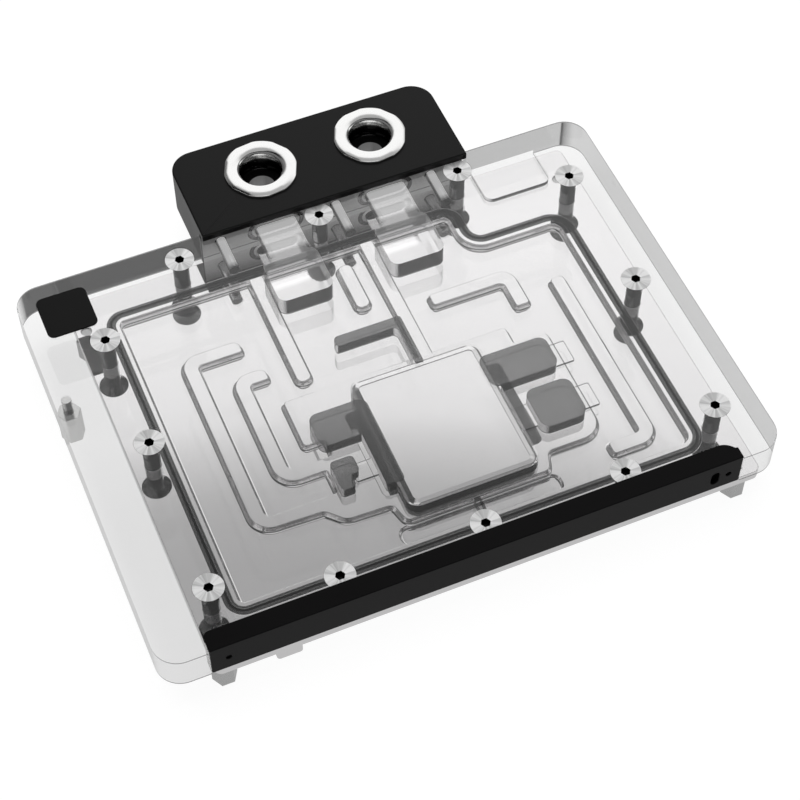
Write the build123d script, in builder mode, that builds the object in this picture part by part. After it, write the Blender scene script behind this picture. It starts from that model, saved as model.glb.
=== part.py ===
"""Full-cover water block for a graphics card: clear cover, plated cold plate and port terminal.

Millimetres, +Z up. The origin is below the middle of the whole block, in the plane that the
standoffs stand on. Plan positions in the lists are measured from the clear cover's front left
corner, and heights from the standoffs' feet.
"""
import os

from build123d import *

# Clear cover
cover_length = 162.3
cover_depth = 118.7
cover_thick = 10.0
cover_corner = 6.5
cover_gap = 0.1

# Cold plate
plate_left = 12.8
plate_right = cover_length - 5.0
plate_front = 0.7
plate_back = cover_depth - 1.1
plate_thick = 3.0
plate_corner = 2.0
flow_depth = 1.75
crossing_depth = 2.8
fin_pocket_depth = 4.0
rib_width = 3.8
rib_corner = 1.6
turn_inner = 1.7
turn_outer = 5.5

# Underside of the cold plate
boss_left = plate_left + 27.2
boss_right = plate_right - 29.3
boss_front = 11.0
boss_back = plate_back - 19.6
boss_corner = 3.0
boss_drop = 2.5
die_drop = 5.2
memory_drop = 4.6
supply_drop = 3.3
memory_size = 13.0
die_length = 30.0
die_depth = 30.0

# Flow area and its seal
flow_left = 24.3
flow_right = plate_right - 11.9
flow_front = 15.1
flow_back = cover_depth - 11.7
flow_step_left = flow_right - 27.0
flow_step_front = flow_back - 13.4
rim_width = 1.3
seal_width = 2.1
seal_depth = 1.5

# Core cover, flow plate and fins
core_left = cover_length / 2 - 9.55
core_front = 22.4
core_length = 35.2
core_depth = 40.7
core_right = core_left + core_length
core_back = core_front + core_depth
core_thick = 2.6
core_corner = 3.0
core_edge = 0.6
core_gasket_thick = 0.4
core_gasket_width = 2.4
core_clearance = 0.35
flow_plate_length = 34.0
flow_plate_depth = 32.0
flow_plate_thick = 1.2
flow_plate_clearance = 0.1
fin_length = 30.0
fin_count = 20
fin_pitch = 1.3
fin_thick = 0.6
fin_base = 0.8

# Chambers and ports
chamber_height = 5.9
chamber_length = 15.4
chamber_front = flow_back - 14.9
chamber_corner = 2.5
port_spacing = 31.8
port_left_x = core_left + 2.7
port_y = cover_depth + 13.6
chamber_lefts = (port_left_x - 9.9, port_left_x + port_spacing - 9.9)
port_bore = 5.9
port_slot_length = 12.0
port_slot_height = 3.6
port_slot_level = 4.2

# Terminal
terminal_left = port_left_x - 22.4
terminal_length = 76.1
terminal_depth = 27.3
terminal_rise = 2.0
terminal_drop = 2.0
terminal_corner = 6.5
terminal_gap = 0.1
terminal_lip = 2.5
well_depth = 6.4
drill_radius = 3.6
drill_floor = 3.0
insert_flange = 10.0
insert_flats = 9.5
insert_turn = 7.0
insert_flange_thick = 0.7
insert_body = 8.0
insert_body_length = 5.8
insert_mouth = 0.35
well_clearance = 0.5
port_seal_width = 1.3
port_seal_depth = 1.1
port_seal_space = 0.8
terminal_screw_radius = 1.5
terminal_screw_x = (terminal_left + 5.5, terminal_left + 38.5, terminal_left + 66.4)
terminal_screw_level = 5.0
terminal_screw_grip = 10.5
terminal_screw_head = 2.75
terminal_screw_head_length = 3.0

# Cover screws
screw_radius = 2.0
screw_head_radius = 4.0
screw_clearance = 0.15
screw_sink = 0.1
screw_socket = 1.25
screw_socket_depth = 1.5
right_screw_x = cover_length - 10.8
back_screw_y = cover_depth - 5.5
front_screws = ((47.2, 7.6), (84.7, 7.6), (122.1, 7.8))
left_screws = ((18.0, cover_depth - 23.4), (18.1, 61.0), (17.6, 16.6))
back_screws = ((44.2, back_screw_y - 0.2), (83.6, back_screw_y), (123.9, back_screw_y))
right_screws = ((right_screw_x - 0.5, cover_depth - 19.0), (right_screw_x, 60.7), (right_screw_x, 16.9))
cover_screw_points = front_screws + left_screws + back_screws + right_screws

# Light bar
bar_left = 11.9
bar_right = cover_length - 11.8
bar_body = 3.3
bar_lip = 5.5
bar_rise = 0.45
bar_drop = 9.7
bar_corner_left = 1.6
bar_corner_right = 4.6
bar_clearance = 0.1
lamp_left = bar_left + 8.1
lamp_right = bar_right - 10.5
lamp_height = 3.0
lamp_slot_depth = 2.3
lamp_level = 5.0
board_thick = 0.8
chip_count = 12
chip_size = 3.0
chip_thick = 0.8
diffuser_thick = 0.3
cable_x = bar_right - 7.3
cable_width = 2.2
cable_height = 4.6
bar_screw_x = (bar_left + 4.4, bar_right - 3.6)
bar_screw_radius = 0.7
bar_screw_grip = 5.0

# Badge
badge_size = 13.3
badge_x = 11.6
badge_y = cover_depth - 11.4
badge_thick = 0.5
badge_corner = 1.8

# Standoffs
standoff_length = 7.0
standoff_flats = 5.5
standoff_bore = 1.05
standoff_stud = 1.25
standoff_stud_length = 2.6
standoff_left = plate_left + 2.8
standoff_right = plate_right - 5.4
standoff_front = plate_front + 3.2
standoff_back = plate_back - 10.1
side_standoff = (3.6, cover_depth - 34.1)
side_stud_length = 5.0
core_spacing_x = 55.0
core_spacing_y = 50.0
plate_standoffs = (
    (standoff_left, standoff_front),
    (standoff_right, standoff_front),
    (standoff_right, standoff_back),
    (standoff_left, standoff_back),
)

# Pockets in the cover's lower face, each with its left, front, right, back and corner radius
pocket_extra = 0.5
transfer_pockets = (
    (core_left - 13.7, core_front + 24.7, core_left + 2, core_front + 34.9, 2.4),
    (core_left - 2.9, core_front + 8.2, core_left + 2, core_front + 27.6, 0.8),
    (core_left - 13.7, core_front + 14.5, core_left - 7.4, core_front + 19.8, 1.2),
    (core_left - 13.7, core_front + 10.8, core_left - 9.8, core_front + 15.6, 1.0),
    (core_right - 2, core_front + 25.0, core_right + 17.0, core_front + 35.1, 2.4),
    (core_right + 4.6, core_front + 8.4, core_right + 17.2, core_front + 20.8, 2.6),
)
back_passage = (
    (core_left + 1.6, core_back + 11.8, 0.6),
    (core_right - 17.0, core_back + 11.8, 1.5),
    (core_right - 17.0, core_back - 1, 0.3),
    (core_right - 14.7, core_back - 1, 0.3),
    (core_right - 14.7, core_back + 14.9, 0.8),
    (core_left + 1.6, core_back + 14.9, 1.4),
)
slit_height = 0.8
slits = (
    (core_left - 8.6, core_front + 13.6, core_left - 1.6, core_front + 19.0, 0.5),
    (core_right - 1, core_front + 11.6, core_right + 6.2, core_front + 19.0, 0.5),
    (core_right + 15.2, core_front + 11.6, core_right + 22.2, core_front + 19.0, 0.5),
    (core_right + 15.2, core_front + 26.6, core_right + 22.2, core_front + 33.6, 0.5),
)
recess_height = 1.4
recess_left = cover_length - 32.1
recess_right = cover_length - 12.7
recess_front = cover_depth - 12.1
recess_corner = 2.5

# Levels and middles
plate_top = standoff_length + plate_thick
cover_bottom = plate_top + cover_gap
cover_top = cover_bottom + cover_thick
boss_bottom = standoff_length - boss_drop
die_bottom = standoff_length - die_drop
block_depth = cover_depth + terminal_depth
core_x = core_left + core_length / 2
core_y = core_front + core_depth / 2
fin_floor = plate_top - fin_pocket_depth
flow_plate_bottom = plate_top - flow_plate_thick
core_bottom = plate_top + core_gasket_thick
core_top = core_bottom + core_thick
window_height = core_top + 0.1 - cover_bottom
pocket_height = window_height + pocket_extra
seal_bottom = plate_top - seal_depth
port_xs = (port_left_x, port_left_x + port_spacing)
port_level = plate_top + port_slot_level
terminal_top = cover_top + terminal_rise
terminal_bottom = cover_bottom - terminal_drop
terminal_front = cover_depth + terminal_gap
terminal_back = block_depth
lamp_z = cover_top - lamp_level


def plan(height):
    """Horizontal plane with its origin over the cover's front left corner."""
    return Plane(origin=(-cover_length / 2, -block_depth / 2, height))


def upright(depth):
    """Vertical plane seen from the front, at a depth behind the cover's front edge."""
    middle = (-cover_length / 2, depth - block_depth / 2, 0)
    return Plane(origin=middle, x_dir=(1, 0, 0), z_dir=(0, -1, 0))


def box_outline(x0, y0, x1, y1, radius, mode=Mode.ADD):
    """Rounded rectangle between two corners of the current sketch."""
    with Locations(((x0 + x1) / 2, (y0 + y1) / 2)):
        RectangleRounded(x1 - x0, y1 - y0, radius, mode=mode)


def shape_outline(corners, mode=Mode.ADD):
    """Closed outline from its corners, each with its own radius."""
    points = [(x, y) for x, y, radius in corners]
    radii = [radius for x, y, radius in corners]
    with BuildLine() as outline:
        FilletPolyline(*points, radius=radii, close=True)
    make_face(outline.edges(), mode=mode)


flow_corners = (
    (flow_left, flow_front, 1.6),
    (flow_right, flow_front, 3.0),
    (flow_right, flow_step_front, 3.0),
    (flow_step_left, flow_step_front, 7.0),
    (flow_step_left, flow_back, 2.0),
    (flow_left, flow_back, 1.6),
)


def flow_area(grow):
    """Outline of the flow area, grown all round."""
    with BuildSketch() as area:
        shape_outline(flow_corners)
        if grow:
            offset(amount=grow)
    return area.sketch


with BuildSketch() as seal_ring:
    add(flow_area(rim_width + seal_width))
    add(flow_area(rim_width), mode=Mode.SUBTRACT)

# Ribs and lands left standing in the flow area
divider_left = core_left - 10.9
divider_right = core_x + 3.2
island_left = core_x - 5.3
lane_outer = flow_left + 10.5
lane_inner = flow_left + 20.7
land_right = flow_right - 19.1
land_back = core_back + 3.1
lane_back = land_back + 12.2
lane_end = lane_back + 10.9
hook_left = core_x + 13.6
hook_right = land_right + 0.3
hook_back = land_back + 17.7
return_left = land_right - 0.6
return_right = flow_right - 6.9
return_front = flow_front + 4.0
return_back = flow_step_front - 17.3
straight_ribs = (
    ((divider_left, land_back + 4.1), (divider_left + rib_width, flow_back + 1)),
    ((divider_right, core_y), (divider_right + rib_width, flow_back + 1)),
    ((island_left, hook_back + 2.9), (island_left + rib_width, flow_back - 5)),
)

# Each corner of a rib or land is its place and its radius
hook_corners = (
    (hook_left, hook_back - rib_width, 0.9),
    (hook_right - rib_width, hook_back - rib_width, 1.5),
    (hook_right - rib_width, hook_back - 12.6, 0.9),
    (hook_right, hook_back - 12.6, 0.9),
    (hook_right, hook_back, 4.0),
    (hook_left, hook_back, 0.9),
)
return_corners = (
    (return_left, return_front, 1.0),
    (return_right, return_front, turn_outer - 0.5),
    (return_right, return_back, 1.0),
    (return_right - rib_width, return_back, 1.0),
    (return_right - rib_width, return_front + rib_width, turn_inner - 0.5),
    (return_left, return_front + rib_width, 1.0),
)
land_corners = (
    (lane_outer, core_front + 9.8, turn_outer),
    (core_left - 19.3, core_front + 9.2, 1.8),
    (core_left - 15.0, core_front + 4.8, 4.5),
    (core_left - 3.0, core_front + 4.4, 1.8),
    (core_left - 1.5, core_front - 1.3, 2.0),
    (core_right + 2.1, core_front - 1.3, 2.0),
    (core_right + 3.8, core_front + 3.9, 1.8),
    (land_right, core_front + 3.9, turn_outer),
    (land_right, land_back - 5.9, 1.0),
    (land_right - 9.3, land_back - 5.9, 1.0),
    (land_right - 9.3, land_back, 1.0),
    (lane_inner + 9.8, land_back, 1.0),
    (lane_inner + 9.8, core_front + 29.0, 1.0),
    (lane_inner + 15.5, core_front + 29.0, 1.0),
    (lane_inner + 15.5, core_front + 23.8, 1.0),
    (lane_inner + rib_width, core_front + 23.8, turn_inner),
    (lane_inner + rib_width, lane_back - 3.8, 1.3),
    (lane_inner + 9.2, lane_back - 3.8, 0.7),
    (lane_inner + 9.2, lane_back, 2.0),
    (lane_inner, lane_back, 4.5),
    (lane_inner, core_front + 20.2, turn_outer),
    (lane_inner + 12.5, core_front + 20.2, 0.8),
    (lane_inner + 12.5, core_front + 13.0, 0.8),
    (lane_outer + rib_width, core_front + 13.0, turn_inner),
    (lane_outer + rib_width, lane_end - 3.8, 1.3),
    (lane_outer + 16.2, lane_end - 3.8, 0.7),
    (lane_outer + 16.2, lane_end, 2.0),
    (lane_outer, lane_end, 4.5),
)
crossing_left = core_left - 4.7
crossing_right = core_right + 4.0
crossing_back = flow_front + 5.8
crossing_corner = 2.6
tongue_x = core_x - 0.6
tongue_thick = 1.6
tongue_gap = 0.2

# Memory and supply pads on the underside
die_x = core_x - 0.2
die_y = core_y + 0.25
memory_pads = (
    (die_x - 29.0, die_y - 8.0),
    (die_x - 29.0, die_y + 8.0),
    (die_x + 29.0, die_y - 8.0),
    (die_x + 29.0, die_y + 8.0),
    (die_x - 14.0, die_y + 31.0),
    (die_x, die_y + 31.0),
    (die_x + 14.0, die_y + 31.0),
)
supply_pads = (
    (plate_left + 15.4, plate_front + 0.2, plate_left + 22.0, plate_front + 8.8),
    (plate_left + 15.2, die_y - 13.0, plate_left + 25.2, die_y + 52.0),
    (plate_right - 23.3, die_y - 13.0, plate_right - 13.3, die_y + 47.0),
)
fin_pocket_side = 21.5
fin_pocket_end = 13.5
core_standoffs = tuple(
    (die_x + core_spacing_x * side / 2, die_y + core_spacing_y * end / 2)
    for side in (-1, 1)
    for end in (-1, 1)
)

os.makedirs("parts", exist_ok=True)


def save(name, part):
    part.label = name
    export_step(part, f"parts/{name}.step")


# Cold plate, with its flow area milled down from the top and its pads below
with BuildPart() as cold_plate:
    with BuildSketch(plan(standoff_length)):
        box_outline(plate_left, plate_front, plate_right, plate_back, plate_corner)
    extrude(amount=plate_thick)
    with BuildSketch(plan(boss_bottom)):
        box_outline(boss_left, boss_front, boss_right, boss_back, boss_corner)
    extrude(amount=boss_drop)
    with BuildSketch(plan(die_bottom)):
        with Locations((die_x, die_y)):
            RectangleRounded(die_length, die_depth, 2.0)
    extrude(amount=die_drop - boss_drop)
    with BuildSketch(plan(standoff_length - memory_drop)):
        with Locations(*memory_pads):
            RectangleRounded(memory_size, memory_size, 1.0)
    extrude(amount=memory_drop - boss_drop)
    with BuildSketch(plan(standoff_length - supply_drop)):
        for x0, y0, x1, y1 in supply_pads:
            box_outline(x0, y0, x1, y1, 0.8)
    extrude(amount=supply_drop)
    with BuildSketch(plan(plate_top)):
        add(flow_area(0))
        for (x0, y0), (x1, y1) in straight_ribs:
            box_outline(x0, y0, x1, y1, rib_corner, mode=Mode.SUBTRACT)
        shape_outline(hook_corners, mode=Mode.SUBTRACT)
        shape_outline(return_corners, mode=Mode.SUBTRACT)
        shape_outline(land_corners, mode=Mode.SUBTRACT)
    extrude(amount=-flow_depth, mode=Mode.SUBTRACT)
    with BuildSketch(plan(plate_top)):
        box_outline(crossing_left, flow_front, crossing_right, crossing_back, crossing_corner)
    extrude(amount=-crossing_depth, mode=Mode.SUBTRACT)
    with BuildSketch(plan(seal_bottom)):
        add(seal_ring.sketch)
    extrude(amount=seal_depth, mode=Mode.SUBTRACT)
    with BuildSketch(plan(plate_top)):
        box_outline(
            core_x - fin_pocket_side,
            die_y - fin_pocket_end,
            core_x + fin_pocket_side,
            die_y + fin_pocket_end,
            1.5,
        )
    extrude(amount=-fin_pocket_depth, mode=Mode.SUBTRACT)
    with BuildSketch(plan(plate_top)):
        with Locations((core_x, core_y)):
            Rectangle(
                flow_plate_length + 2 * flow_plate_clearance,
                flow_plate_depth + 2 * flow_plate_clearance,
            )
    extrude(amount=-flow_plate_thick, mode=Mode.SUBTRACT)
    with BuildSketch(plan(standoff_length)):
        with Locations(*cover_screw_points):
            Circle(screw_radius + 0.05)
        with Locations(*plate_standoffs):
            Circle(standoff_stud + 0.05)
    extrude(amount=plate_thick, mode=Mode.SUBTRACT)
    with BuildSketch(plan(boss_bottom)):
        with Locations(*core_standoffs):
            Circle(standoff_stud + 0.05)
    extrude(amount=1.6, mode=Mode.SUBTRACT)
save("cold_plate", cold_plate.part)

# Fins that stand over the die, in the deep pocket of the cold plate
with BuildPart() as fin_block:
    with BuildSketch(plan(fin_floor)):
        with Locations((core_x, core_y)):
            Rectangle(fin_length, fin_count * fin_pitch)
    extrude(amount=fin_base)
    with BuildSketch(plan(fin_floor + fin_base)):
        with Locations((core_x, core_y)):
            with GridLocations(0, fin_pitch, 1, fin_count):
                Rectangle(fin_length, fin_thick)
    extrude(amount=flow_plate_bottom - fin_floor - fin_base)
save("fin_block", fin_block.part)

# Flow plate that closes the fin channels from above
with BuildPart() as flow_plate:
    with BuildSketch(plan(flow_plate_bottom)):
        with Locations((core_x, core_y)):
            Rectangle(flow_plate_length, flow_plate_depth)
    extrude(amount=flow_plate_thick)
save("flow_plate", flow_plate.part)

# Gasket between the land and the core cover
with BuildPart() as core_gasket:
    with BuildSketch(plan(plate_top)):
        with Locations((core_x, core_y)):
            RectangleRounded(core_length, core_depth, core_corner)
            RectangleRounded(
                core_length - 2 * core_gasket_width,
                core_depth - 2 * core_gasket_width,
                core_corner / 2,
                mode=Mode.SUBTRACT,
            )
    extrude(amount=core_gasket_thick)
save("core_gasket", core_gasket.part)

# Bare metal cover over the fins
with BuildPart() as core_cover:
    with BuildSketch(plan(core_bottom)):
        with Locations((core_x, core_y)):
            RectangleRounded(core_length, core_depth, core_corner)
    extrude(amount=core_thick)
    chamfer(core_cover.faces().sort_by(Axis.Z)[-1].edges(), core_edge)
save("core_cover", core_cover.part)

# Clear cover, with its water chambers and passages
with BuildPart() as flow_cover:
    with BuildSketch(plan(cover_bottom)):
        box_outline(0, 0, cover_length, cover_depth, cover_corner)
        with Locations(((bar_left + bar_right) / 2, 0)):
            Rectangle(
                bar_right - bar_left + 2 * bar_clearance,
                2 * (bar_body + bar_clearance),
                mode=Mode.SUBTRACT,
            )
    extrude(amount=cover_thick)
    with BuildSketch(plan(cover_bottom)):
        for x0 in chamber_lefts:
            box_outline(x0, chamber_front, x0 + chamber_length, flow_back, chamber_corner)
    extrude(amount=chamber_height, mode=Mode.SUBTRACT)
    with BuildSketch(upright(cover_depth)):
        for port_x in port_xs:
            with Locations((port_x - 1.2, port_level)):
                SlotOverall(port_slot_length, port_slot_height)
    extrude(amount=cover_depth - flow_back + 2, mode=Mode.SUBTRACT)
    with BuildSketch(plan(cover_bottom)):
        with Locations((core_x, core_y)):
            RectangleRounded(
                core_length + 2 * core_clearance,
                core_depth + 2 * core_clearance,
                core_corner + core_clearance,
            )
    extrude(amount=window_height, mode=Mode.SUBTRACT)
    with BuildSketch(plan(cover_bottom)):
        for pocket in transfer_pockets:
            box_outline(*pocket)
        shape_outline(back_passage)
    extrude(amount=pocket_height, mode=Mode.SUBTRACT)
    with BuildSketch(plan(cover_bottom)):
        for slit in slits:
            box_outline(*slit)
    extrude(amount=slit_height, mode=Mode.SUBTRACT)
    with BuildSketch(plan(cover_bottom)):
        box_outline(recess_left, recess_front, recess_right, cover_depth + 4, recess_corner)
    extrude(amount=recess_height, mode=Mode.SUBTRACT)
    with BuildSketch(plan(cover_bottom)):
        with Locations((tongue_x, (flow_front + crossing_back) / 2)):
            Rectangle(tongue_thick, crossing_back - flow_front - 2 * tongue_gap)
    extrude(amount=-crossing_depth)
    with Locations(plan(cover_top)):
        with Locations(*cover_screw_points):
            CounterSinkHole(
                radius=screw_radius + screw_clearance,
                counter_sink_radius=screw_head_radius,
                depth=cover_thick,
                counter_sink_angle=90,
            )
    with BuildSketch(upright(cover_depth)):
        for screw_x in terminal_screw_x:
            with Locations((screw_x, cover_top - terminal_screw_level)):
                Circle(terminal_screw_radius + 0.05)
    extrude(amount=terminal_screw_grip + 0.5, mode=Mode.SUBTRACT)
    with BuildSketch(upright(bar_body)):
        for screw_x in bar_screw_x:
            with Locations((screw_x, lamp_z)):
                Circle(bar_screw_radius + 0.05)
    extrude(amount=-(bar_screw_grip + 0.3), mode=Mode.SUBTRACT)
    with BuildSketch(plan(cover_bottom)):
        with Locations(side_standoff):
            Circle(standoff_stud + 0.05)
    extrude(amount=side_stud_length + 0.4, mode=Mode.SUBTRACT)
save("flow_cover", flow_cover.part)

# Seal round the flow area
with BuildPart() as main_seal:
    with BuildSketch(plan(seal_bottom)):
        add(seal_ring.sketch)
    extrude(amount=seal_depth + cover_gap)
save("main_seal", main_seal.part)

# Port terminal behind the cover, with a lip over the cover's back edge
with BuildPart() as terminal_block:
    with BuildSketch(plan(terminal_bottom)):
        shape_outline(
            (
                (terminal_left, terminal_front, 0.5),
                (terminal_left + terminal_length, terminal_front, 0.5),
                (terminal_left + terminal_length, terminal_back, terminal_corner),
                (terminal_left, terminal_back, terminal_corner),
            )
        )
    extrude(amount=terminal_top - terminal_bottom)
    with BuildSketch(plan(cover_top + 0.05)):
        box_outline(
            terminal_left,
            cover_depth - terminal_lip,
            terminal_left + terminal_length,
            terminal_front + 1,
            0.3,
        )
    extrude(amount=terminal_rise - 0.05)
    with BuildSketch(plan(terminal_top)):
        for port_x in port_xs:
            with Locations((port_x, port_y)):
                Circle(insert_body + 0.05)
    extrude(amount=-insert_body_length, mode=Mode.SUBTRACT)
    with BuildSketch(plan(terminal_top)):
        for port_x in port_xs:
            with Locations((port_x, port_y)):
                Circle(port_bore + well_clearance)
    extrude(amount=-well_depth, mode=Mode.SUBTRACT)
    with BuildSketch(plan(terminal_top)):
        for port_x in port_xs:
            with Locations((port_x, port_y)):
                Circle(drill_radius)
    extrude(amount=-(terminal_top - terminal_bottom - drill_floor), mode=Mode.SUBTRACT)
    with BuildSketch(upright(port_y - 1.2)):
        for port_x in port_xs:
            with Locations((port_x - 1.2, port_level)):
                SlotOverall(port_slot_length, port_slot_height)
    extrude(amount=port_y - cover_depth, mode=Mode.SUBTRACT)
    with BuildSketch(upright(terminal_front)):
        for port_x in port_xs:
            with Locations((port_x - 1.2, port_level)):
                SlotOverall(
                    port_slot_length + 2 * (port_seal_space + port_seal_width),
                    port_slot_height + 2 * (port_seal_space + port_seal_width),
                )
                SlotOverall(
                    port_slot_length + 2 * port_seal_space,
                    port_slot_height + 2 * port_seal_space,
                    mode=Mode.SUBTRACT,
                )
    extrude(amount=-port_seal_depth, mode=Mode.SUBTRACT)
    with BuildSketch(upright(terminal_back)):
        for screw_x in terminal_screw_x:
            with Locations((screw_x, cover_top - terminal_screw_level)):
                Circle(terminal_screw_radius + 0.15)
    extrude(amount=terminal_depth, mode=Mode.SUBTRACT)
    with BuildSketch(upright(terminal_back)):
        for screw_x in terminal_screw_x:
            with Locations((screw_x, cover_top - terminal_screw_level)):
                Circle(terminal_screw_head + 0.2)
    extrude(amount=terminal_screw_head_length + 0.3, mode=Mode.SUBTRACT)
save("terminal_block", terminal_block.part)

# Threaded port inserts, each with a flange that has six short flats for the assembly key
for side, port_x in zip(("left", "right"), port_xs):
    with BuildPart() as port_insert:
        with BuildSketch(plan(terminal_top)):
            with Locations((port_x, port_y)):
                Circle(insert_flange)
                RegularPolygon(
                    insert_flats,
                    6,
                    major_radius=False,
                    rotation=insert_turn,
                    mode=Mode.INTERSECT,
                )
        extrude(amount=insert_flange_thick)
        with BuildSketch(plan(terminal_top)):
            with Locations((port_x, port_y)):
                Circle(insert_body)
        extrude(amount=-insert_body_length)
        with BuildSketch(plan(terminal_top + insert_flange_thick)):
            with Locations((port_x, port_y)):
                Circle(port_bore)
        extrude(amount=-(insert_body_length + insert_flange_thick), mode=Mode.SUBTRACT)
        mouth = port_insert.faces().sort_by(Axis.Z)[-1].inner_wires()[0]
        chamfer(mouth.edges(), insert_mouth)
    save(f"port_insert_{side}", port_insert.part)

# Seals between the terminal and the cover, one round each passage
for side, port_x in zip(("left", "right"), port_xs):
    with BuildPart() as port_seal:
        with BuildSketch(upright(terminal_front)):
            with Locations((port_x - 1.2, port_level)):
                SlotOverall(
                    port_slot_length + 2 * (port_seal_space + port_seal_width),
                    port_slot_height + 2 * (port_seal_space + port_seal_width),
                )
                SlotOverall(
                    port_slot_length + 2 * port_seal_space,
                    port_slot_height + 2 * port_seal_space,
                    mode=Mode.SUBTRACT,
                )
        extrude(amount=-port_seal_depth)
    save(f"port_seal_{side}", port_seal.part)

# Screws that pull the terminal against the cover
terminal_screw_top = terminal_back - 0.3
with BuildPart() as terminal_screws:
    with BuildSketch(upright(terminal_screw_top)):
        for screw_x in terminal_screw_x:
            with Locations((screw_x, cover_top - terminal_screw_level)):
                Circle(terminal_screw_head)
    extrude(amount=terminal_screw_head_length)
    with BuildSketch(upright(terminal_screw_top)):
        for screw_x in terminal_screw_x:
            with Locations((screw_x, cover_top - terminal_screw_level)):
                Circle(terminal_screw_radius)
    extrude(amount=terminal_screw_top - cover_depth + terminal_screw_grip)
    with BuildSketch(upright(terminal_screw_top)):
        for screw_x in terminal_screw_x:
            with Locations((screw_x, cover_top - terminal_screw_level)):
                RegularPolygon(screw_socket, 6, major_radius=False)
    extrude(amount=screw_socket_depth, mode=Mode.SUBTRACT)
save("terminal_screws", terminal_screws.part)

# Countersunk screws that clamp the cover on the cold plate
head_top = cover_top - screw_sink
head_radius = screw_head_radius - screw_sink - 0.05
head_height = head_radius - screw_radius
with BuildPart() as cover_screws:
    with Locations(plan(head_top - head_height)):
        with Locations(*cover_screw_points):
            Cone(
                screw_radius,
                head_radius,
                head_height,
                align=(Align.CENTER, Align.CENTER, Align.MIN),
            )
    with BuildSketch(plan(standoff_length + 0.2)):
        with Locations(*cover_screw_points):
            Circle(screw_radius)
    extrude(amount=head_top - head_height - standoff_length - 0.2)
    with BuildSketch(plan(head_top)):
        with Locations(*cover_screw_points):
            RegularPolygon(screw_socket, 6, major_radius=False)
    extrude(amount=-screw_socket_depth, mode=Mode.SUBTRACT)
save("cover_screws", cover_screws.part)

# Light bar along the front edge: an opaque cover with a lip over the clear cover
bar_top = cover_top + bar_rise
bar_bottom = cover_top - bar_drop
with BuildPart() as light_bar:
    with BuildSketch(plan(bar_bottom)):
        box_outline(bar_left, 0, bar_right, bar_body, 0.4)
    extrude(amount=bar_top - bar_bottom)
    with BuildSketch(plan(cover_top + 0.05)):
        shape_outline(
            (
                (bar_left, 0.5, 0.2),
                (bar_right, 0.5, 0.2),
                (bar_right, bar_lip, bar_corner_right),
                (bar_left, bar_lip, bar_corner_left),
            )
        )
    extrude(amount=bar_rise - 0.05)
    with BuildSketch(upright(bar_body)):
        with Locations(((lamp_left + lamp_right) / 2, lamp_z)):
            Rectangle(lamp_right - lamp_left, lamp_height)
    extrude(amount=lamp_slot_depth, mode=Mode.SUBTRACT)
    with BuildSketch(upright(0)):
        with Locations((cable_x, lamp_z)):
            SlotOverall(cable_height, cable_width, rotation=90)
    extrude(amount=-(bar_body - 0.6), mode=Mode.SUBTRACT)
    with BuildSketch(upright(0)):
        for screw_x in bar_screw_x:
            with Locations((screw_x, lamp_z)):
                Circle(bar_screw_radius + 0.05)
    extrude(amount=-bar_body, mode=Mode.SUBTRACT)
save("light_bar", light_bar.part)

# Circuit board in the bar's slot
with BuildPart() as lamp_board:
    with BuildSketch(upright(bar_body - lamp_slot_depth)):
        with Locations(((lamp_left + lamp_right) / 2, lamp_z)):
            Rectangle(lamp_right - lamp_left - 0.4, lamp_height - 0.2)
    extrude(amount=-board_thick)
save("lamp_board", lamp_board.part)

# Lamps on the board
with BuildPart() as lamp_chips:
    with BuildSketch(upright(bar_body - lamp_slot_depth + board_thick)):
        with Locations(((lamp_left + lamp_right) / 2, lamp_z)):
            with GridLocations((lamp_right - lamp_left) / chip_count, 0, chip_count, 1):
                Rectangle(chip_size, chip_size - 0.4)
    extrude(amount=-chip_thick)
save("lamp_chips", lamp_chips.part)

# Diffuser strip that closes the slot
with BuildPart() as lamp_diffuser:
    with BuildSketch(upright(bar_body)):
        with Locations(((lamp_left + lamp_right) / 2, lamp_z)):
            Rectangle(lamp_right - lamp_left - 0.2, lamp_height - 0.1)
    extrude(amount=diffuser_thick)
save("lamp_diffuser", lamp_diffuser.part)

# Cable socket behind the slot in the bar's front
with BuildPart() as cable_socket:
    with BuildSketch(upright(bar_body - 0.6)):
        with Locations((cable_x, lamp_z)):
            SlotOverall(cable_height - 0.1, cable_width - 0.1, rotation=90)
    extrude(amount=1.2)
save("cable_socket", cable_socket.part)

# Two small screws that hold the bar
with BuildPart() as bar_screws:
    with BuildSketch(upright(0.5)):
        for screw_x in bar_screw_x:
            with Locations((screw_x, lamp_z)):
                Circle(bar_screw_radius)
    extrude(amount=-(bar_body - 0.5 + bar_screw_grip))
save("bar_screws", bar_screws.part)

# Badge plate, left bare
with BuildPart() as corner_badge:
    with BuildSketch(plan(cover_top + 0.05)):
        with Locations((badge_x, badge_y)):
            RectangleRounded(badge_size, badge_size, badge_corner)
    extrude(amount=badge_thick)
save("corner_badge", corner_badge.part)


def standoff(points, foot, shoulder, stud):
    """Hexagon standoffs with a threaded foot and a stud above the shoulder."""
    with BuildPart() as group:
        with BuildSketch(plan(foot)):
            with Locations(*points):
                RegularPolygon(standoff_flats / 2, 6, major_radius=False)
        extrude(amount=shoulder - foot)
        chamfer(group.faces().group_by(Axis.Z)[0].edges(), 0.4)
        with BuildSketch(plan(shoulder)):
            with Locations(*points):
                Circle(standoff_stud)
        extrude(amount=stud)
        with BuildSketch(plan(foot)):
            with Locations(*points):
                Circle(standoff_bore)
        extrude(amount=0.6 * (shoulder - foot), mode=Mode.SUBTRACT)
    return group.part


save("plate_standoffs", standoff(plate_standoffs, 0, standoff_length, standoff_stud_length))
save("side_standoff", standoff((side_standoff,), 0, cover_bottom, side_stud_length))
save("core_standoffs", standoff(core_standoffs, 0, boss_bottom, 1.4))
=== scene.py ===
import math

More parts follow.
